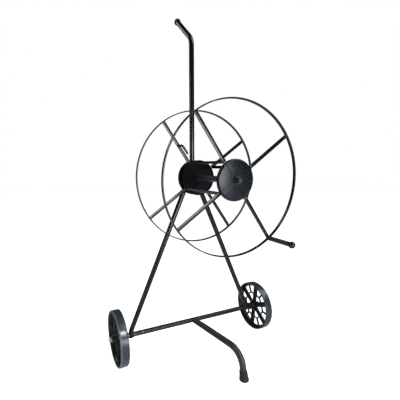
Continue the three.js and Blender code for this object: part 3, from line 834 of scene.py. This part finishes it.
def make_foot_tip():
    """The rubber tip on the foot's tube, leaning with it above its flat sole."""
    tip = [
        (0, 0),
        (10.8, 0),
        (11.6, 0.15),
        *corner_arc(11.4, 3, 3, -80, 0, 6),
        (14.4, 5.2),
        (13.8, 5.8),
        (13.8, 6.6),
        (14.1, 7.2),
        (13.2, 12),
        (12.5, 20),
        (12.1, 27),
        (12.1, 28.6),
        (11.7, 29.6),
        (11, 30),
        (10.2, 30),
        (10.2, 8),
        (0, 8),
    ]
    shell = turned(Shell(), tip, FOOT, Z)
    for point in shell.points:
        point.x += FOOT_AXIS.x / FOOT_AXIS.z * point.z
        point.y += FOOT_AXIS.y / FOOT_AXIS.z * point.z
    piece("foot_tip", shell, "frame", rubber, ["foot_tip"], sharp=60)


def make_stand():
    welds = Shell()
    make_mast()
    make_legs(welds)
    make_foot_tube(welds)
    weld_mast(welds)
    piece("frame_welds", welds, "frame", black_paint)
    make_foot_tip()


def hex_prism(shell, flats, low, high, centre, bore=0.0):
    """A hexagon about Y with chamfered corners, and a bore if one is given."""
    half = flats / 2
    corner = half / math.cos(math.pi / 6)
    levels = [low, low + 0.35, low + 0.8, (low + high) / 2, high - 0.8, high - 0.35, high]
    limits = [half * 0.97, half + 0.55, corner, corner, corner, half + 0.55, half * 0.97]
    sides = 72
    rings = []
    for level, limit in zip(levels, limits):
        ring = []
        for i in range(sides):
            turn = 2 * math.pi * i / sides
            to_flat = half / math.cos((turn % (math.pi / 3)) - math.pi / 6)
            reach = min(to_flat, limit)
            ring.append(Vector(centre) + Vector((reach * math.cos(turn), level, reach * math.sin(turn))))
        rings.append(ring)
    if bore:
        for level, reach in ((high, bore + 0.5), (high - 0.5, bore), (low + 0.5, bore), (low, bore + 0.5)):
            rings.append([Vector(centre) + Vector((u, level, v)) for u, v in circle(reach, sides)])
    shell.rings(rings, looped=bore > 0)
    return shell


def threaded(shell, radius, low, high, centre, pitch=1.25, depth=0.55):
    """A threaded end about Y, running from low, its free end, to high."""
    sides = 48
    rings = []
    count = round((high - low) / (pitch / 8))
    for i in range(count + 1):
        level = low + (high - low) * i / count
        fade = min(1, (level - low) / 1.0 + 0.35)
        ring = []
        for k in range(sides):
            turn = 2 * math.pi * k / sides
            phase = (level / pitch + k / sides) % 1
            groove = abs(phase * 2 - 1)
            reach = min(radius - depth * groove, radius * (0.72 + 0.28 * fade))
            ring.append(Vector(centre) + Vector((reach * math.cos(turn), level, reach * math.sin(turn))))
        rings.append(ring)
    shell.rings(rings)
    return shell


def flat_ring(bore, radius, low, high):
    """The profile of a washer or spacer."""
    return [(bore, low), (radius, low), (radius, high), (bore, high)]


def make_spindle():
    """The fixed disc and the spindle, with its spacer, washer and nut."""
    centre = Vector((0, 0, AXIS_HEIGHT))
    bore, thread_bore = SPINDLE_RADIUS + RUNNING_GAP, THREAD_RADIUS + RUNNING_GAP
    # The hub disc takes the painted-shade copy of the disc paint.
    disc("frame_hub_disc", HUB_DISC_SETBACK, 1, "frame", bore, HUB_DISC_DEPTH, shaded_disc_paint)
    shoulder = -REEL_TUBE_PROUD - 2.3
    shank = [
        (0, shoulder),
        (SPINDLE_RADIUS - 0.4, shoulder),
        (SPINDLE_RADIUS, shoulder + 0.4),
        (SPINDLE_RADIUS, SPINDLE_END),
        (0, SPINDLE_END),
    ]
    shell = Shell()
    threaded(shell, THREAD_RADIUS, shoulder - THREAD_LENGTH, shoulder, centre)
    turned(shell, shank, centre)
    hex_prism(shell, 19, 228.3, 234.8, centre)
    piece("spindle", shell, "frame", dark_steel, ["spindle"])
    shell = turned(Shell(), flat_ring(bore, 10, 212.3, 226.2), centre, closed=True)
    piece("spindle_spacer", shell, "frame", dark_steel, ["spindle_spacer"], bevel=0.4)
    shell = turned(Shell(), flat_ring(thread_bore, 10, -14.1, -12.6), centre, closed=True)
    piece("spindle_washer", shell, "frame", dark_zinc, ["spindle_washer"], bevel=0.3)
    shell = hex_prism(Shell(), 13, -21.2, -14.4, centre, bore=4.1)
    piece("spindle_nut", shell, "frame", dark_zinc, ["spindle_nut"], sharp=25)


# ---------------------------------------------------------------- wheels


def rounded_polygon(corners, radius, steps=4):
    """A closed loop of points with its corners rounded, by less where the sides are short."""
    points = []
    count = len(corners)
    for i, corner in enumerate(corners):
        before, after = corners[i - 1], corners[(i + 1) % count]
        back, ahead = (before - corner), (after - corner)
        turn = back.angle(ahead)
        cut_back = min(radius / math.tan(turn / 2), 0.45 * back.length, 0.45 * ahead.length)
        start, end = corner + back.normalized() * cut_back, corner + ahead.normalized() * cut_back
        for k in range(steps + 1):
            t = k / steps
            points.append(start * (1 - t) ** 2 + corner * 2 * t * (1 - t) + end * t**2)
    return points


def polar(radius, degrees):
    turn = math.radians(degrees)
    return Vector((radius * math.cos(turn), radius * math.sin(turn)))


def offset_angle(half_width, radius):
    """The angle, at a radius, between a spoke's middle and its side."""
    return math.degrees(math.asin(half_width / radius))


def web_loops():
    """The web's outline, its hole and its windows: six broad spokes, a Y of thin ribs in each gap."""
    loops = [[polar(WEB_RADIUS, 3 * i) for i in range(120)], [polar(WEB_HOLE, 6 * i) for i in range(60)]]
    for sector in range(6):
        start = 60 * sector
        middle = start + 30
        for side in (-1, 1):
            from_middle = [
                (52.5, offset_angle(RIB_HALF_WIDTH, 52.5)),
                (WINDOW_REACH, offset_angle(RIB_HALF_WIDTH, WINDOW_REACH)),
                (WINDOW_REACH, 9),
                (WINDOW_REACH, 17),
                (WINDOW_REACH, 30 - offset_angle(SPOKE_HALF_WIDTH, WINDOW_REACH)),
                (48.5, 30 - offset_angle(SPOKE_HALF_WIDTH, 48.5)),
            ]
            corners = [polar(radius, middle + side * away) for radius, away in from_middle]
            loops.append(rounded_polygon(corners, 2.2))
        left = start + offset_angle(SPOKE_HALF_WIDTH, 45)
        right = start + 60 - offset_angle(SPOKE_HALF_WIDTH, 45)
        corners = [
            polar(17.5, middle - 6),
            polar(17.5, middle + 6),
            polar(45, right),
            polar(48.5, middle),
            polar(45, left),
        ]
        loops.append(rounded_polygon(corners, 1.6))
    return loops


def flat_plate(loops, half_thickness, edge):
    """A flat plate with holes and rounded edges, as points and faces about z = 0."""
    data = bpy.data.curves.new("plate", "CURVE")
    data.dimensions = "2D"
    data.fill_mode = "BOTH"
    data.extrude = half_thickness - edge
    data.bevel_depth = edge
    data.bevel_resolution = 1
    data.offset = -edge
    for loop in loops:
        spline = data.splines.new("POLY")
        spline.points.add(len(loop) - 1)
        for target, point in zip(spline.points, loop):
            target.co = (point.x, point.y, 0, 1)
        spline.use_cyclic_u = True
    obj = bpy.data.objects.new("plate", data)
    bpy.context.scene.collection.objects.link(obj)
    graph = bpy.context.evaluated_depsgraph_get()
    mesh = bpy.data.meshes.new_from_object(obj.evaluated_get(graph))
    points = [vertex.co.copy() for vertex in mesh.vertices]
    faces = [list(polygon.vertices) for polygon in mesh.polygons]
    bpy.data.objects.remove(obj)
    bpy.data.curves.remove(data)
    bpy.data.meshes.remove(mesh)
    return points, faces


def make_wheel(side_name, side, spoke_turn):
    """A wheel about X, its outer side away from the cart."""
    centre = Vector((side * WHEEL_MIDDLE, SETBACK, WHEEL_RADIUS))
    out = X * side
    half = WHEEL_WIDTH / 2

    def at(radius, degrees, height):
        turn = math.radians(degrees)
        return centre + out * height + Y * radius * math.cos(turn) + Z * radius * math.sin(turn)

    rim_inside, rim_face = 81.2, 86
    rim = [
        (82, 2.2),
        (rim_inside, 3.2),
        (84, half - 1.2),
        (85, half - 0.4),
        (rim_face, half),
        (WHEEL_RADIUS - 2.8, half),
        *corner_arc(WHEEL_RADIUS - 2.9, half - 2.8, 2.7, 80, 10, 5),
        (WHEEL_RADIUS - 0.05, half - TREAD_SHOULDER),
        (WHEEL_RADIUS, 0),
        (WHEEL_RADIUS - 0.05, TREAD_SHOULDER - half),
        *corner_arc(WHEEL_RADIUS - 2.4, 2.4 - half, 2.2, -10, -80, 4),
        (WHEEL_RADIUS - 2.2, -half),
        (rim_face, -half),
        (85, 0.4 - half),
        (84, 1.2 - half),
        (rim_inside, -3.2),
        (82, -2.2),
    ]
    shell = Shell()
    sides = 160
    rings = [[at(radius, 360 * i / sides, height) for i in range(sides)] for radius, height in rim]
    shell.rings(rings, looped=True)
    points, faces = flat_plate(web_loops(), WEB_HALF_THICKNESS, 0.6)
    turn = Matrix.Rotation(math.radians(spoke_turn), 3, "Z")
    turned_points = [turn @ point for point in points]
    shell.add([centre + out * p.z + Y * p.x + Z * p.y for p in turned_points], faces)
    for i in range(6):
        degrees = spoke_turn + 60 * i
        along = at(1, degrees, 0) - centre
        across = along.cross(out)
        for way in (-1, 1):
            rings = []
            for reach, rise in ((10, 9.5), (20, 8.5), (45, 6.2), (70, 5.6), (WEB_RADIUS, 7.5)):
                middle = centre + along * reach
                low, high = middle + out * way * 2, middle + out * way * rise
                rings.append([low + across * 1.5, high + across, high - across, low - across * 1.5])
            shell.rings(rings)
    hub_bore = AXLE_RADIUS + 0.1
    hub = [
        (hub_bore, -31.5),
        (10.8, -31.5),
        (12, -30.3),
        (12.6, -14),
        (13.5, -6),
        (15.5, -2.6),
        (15.5, 2.6),
        (13.2, 5),
        (12.2, 12),
        (11, 18.8),
        (10, 20),
        (hub_bore, 20),
    ]
    rings = [[at(radius, 5 * i, height) for i in range(72)] for radius, height in hub]
    shell.rings(rings, looped=True)
    name = f"{side_name}_wheel"
    obj = piece(name, shell, name, wheel_plastic, [name], sharp=40)
    tread_uv(obj, centre, out)
    pin = [(0, -71), (AXLE_RADIUS, -71), (AXLE_RADIUS, 29.1), (0, 29.1)]
    shell = turned(Shell(), pin, centre, out)
    name = f"{side_name}_axle_pin"
    piece(name, shell, "frame", zinc, [name], bevel=0.3)
    bore = AXLE_RADIUS + RUNNING_GAP
    leg_side = LEG_FOOT_X + TUBE_RADIUS - WHEEL_MIDDLE
    for place_name, low in (("inner", leg_side + RUNNING_GAP), ("outer", 20.3)):
        shell = turned(Shell(), flat_ring(bore, 9, low, low + 1.5), centre, out, closed=True)
        washer = f"{side_name}_{place_name}_washer"
        piece(washer, shell, "frame", zinc, [washer], bevel=0.25)
    cap = [
        (bore, 22.1),
        (6.7, 22.1),
        (7, 22.5),
        (7, 24.4),
        (6.8, 24.8),
        (7, 25.2),
        (7, 27.4),
        *corner_arc(3.2, 27.3, 3.8, 5, 85, 6),
        (0, 31.1),
        (0, 29.5),
        (bore, 29.5),
    ]
    shell = turned(Shell(), cap, centre, out, closed=True)
    name = f"{side_name}_axle_cap"
    piece(name, shell, "frame", cap_plastic, [name], sharp=50)


def tread_uv(obj, centre, out):
    """UVs in metres round the wheel and across it, seamless in whole knurls."""
    mesh = obj.data
    mesh.materials.append(wheel_tread)
    layer = mesh.uv_layers.new(name="tread")
    middle = place(centre)
    for polygon in mesh.polygons:
        angles = []
        for index in polygon.vertices:
            offset = mesh.vertices[index].co - middle
            angles.append(math.atan2(offset.z, offset.y))
        wraps = max(angles) - min(angles) > math.pi
        for loop, index, angle in zip(polygon.loop_indices, polygon.vertices, angles):
            offset = mesh.vertices[index].co - middle
            if wraps and angle < 0:
                angle += 2 * math.pi
            around = angle * KNURL_PITCH * MM * KNURL_COUNT / (2 * math.pi)
            layer.data[loop].uv = (around, offset.dot(out))
        reach = polygon.center - middle
        is_tread = math.hypot(reach.y, reach.z) > (WHEEL_RADIUS - TREAD_SHOULDER) * MM
        polygon.material_index = int(is_tread)


# ---------------------------------------------------------------- build

make_reel()
make_stand()
make_spindle()
make_wheel("left", -1, 9)
make_wheel("right", 1, 36)

# ---------------------------------------------------------------- floor, light and camera


def floor():
    """A white floor that glows, so that it looks as bright as the world behind it."""
    mesh = bpy.data.meshes.new("floor")
    size = 9
    corners = [(-size, -size, 0), (size, -size, 0), (size, size, 0), (-size, size, 0)]
    mesh.from_pydata(corners, [], [(0, 1, 2, 3)])
    obj = bpy.data.objects.new("floor", mesh)
    bpy.context.scene.collection.objects.link(obj)
    nodes = Nodes("floor_white")
    nodes.set(nodes.shader, "Base Color", (0.8, 0.8, 0.8, 1))
    nodes.set(nodes.shader, "Roughness", 0.9)
    nodes.set(nodes.shader, "Specular IOR Level", 0.0)
    nodes.set(nodes.shader, "Emission Color", (1, 1, 1, 1))
    cast, seen = 0.07, 0.89
    camera_ray = nodes.add("ShaderNodeLightPath").outputs["Is Camera Ray"]
    nodes.set(nodes.shader, "Emission Strength", nodes.math("MULTIPLY_ADD", camera_ray, seen, cast))
    mesh.materials.append(nodes.material)


def area_light(name, location, target, width, height, power, spread=180):
    """A cool white rectangle facing its target; places in metres, power in watts."""
    data = bpy.data.lights.new(name, "AREA")
    data.shape = "RECTANGLE"
    data.size, data.size_y = width, height
    data.energy = power
    data.color = (0.88, 0.93, 1.0)
    data.spread = math.radians(spread)
    obj = bpy.data.objects.new(name, data)
    obj.location = location
    obj.rotation_euler = (Vector(target) - Vector(location)).to_track_quat("-Z", "Y").to_euler()
    obj.visible_camera = False
    bpy.context.scene.collection.objects.link(obj)


def world():
    """White where the camera sees it, and a faint light everywhere else."""
    background = bpy.data.worlds.new("studio")
    background.use_nodes = True
    tree = background.node_tree
    shader = tree.nodes["Background"]
    path = tree.nodes.new("ShaderNodeLightPath")
    strength = tree.nodes.new("ShaderNodeMapRange")
    tree.links.new(path.outputs["Is Camera Ray"], strength.inputs["Value"])
    strength.inputs["To Min"].default_value = 0.035
    strength.inputs["To Max"].default_value = 1.0
    tree.links.new(strength.outputs["Result"], shader.inputs["Strength"])
    shader.inputs["Color"].default_value = (1, 1, 1, 1)
    bpy.context.scene.world = background


def camera():
    """The photograph's viewpoint, fitted to the hoops, spokes, tubes and wheels."""
    data = bpy.data.cameras.new("camera")
    data.lens = 27.99
    data.shift_x, data.shift_y = 0.0571, 0.044
    data.clip_start = 0.05
    yaw, pitch, roll = math.radians(24.56), math.radians(-9.68), math.radians(-0.78)
    level = math.cos(pitch)
    ahead = Vector((math.sin(yaw) * level, math.cos(yaw) * level, math.sin(pitch)))
    level_right = Vector((math.cos(yaw), -math.sin(yaw), 0))
    right = level_right * math.cos(roll) + level_right.cross(ahead) * math.sin(roll)
    up = right.cross(ahead)
    turn = Matrix((right, up, -ahead)).transposed().to_4x4()
    obj = bpy.data.objects.new("camera", data)
    obj.matrix_world = Matrix.Translation(place((-479.03, -680.4, 640.54))) @ turn
    bpy.context.scene.collection.objects.link(obj)
    bpy.context.scene.camera = obj


floor()
world()
area_light("key", (0.35, -2.5, 0.59), (0.35, 0.0, 0.59), width=1.9, height=0.72, power=40)
area_light(
    "front_top", (0.38, -2.3, 2.35), (-0.28, 0.03, 0.1), width=0.5, height=0.26, power=0.95, spread=22
)
area_light("back", (-1.3, 2.3, 2.3), (0, 0.2, 0.8), width=1.3, height=1.2, power=12)
area_light("left", (-2.4, -0.3, 0.75), (0, 0.1, 0.6), width=0.12, height=1.5, power=9)
area_light("top", (1.5, -0.8, 2.8), (0, 0, 0.3), width=2.2, height=2.0, power=50)
camera()
bpy.context.scene.view_settings.view_transform = "Standard"
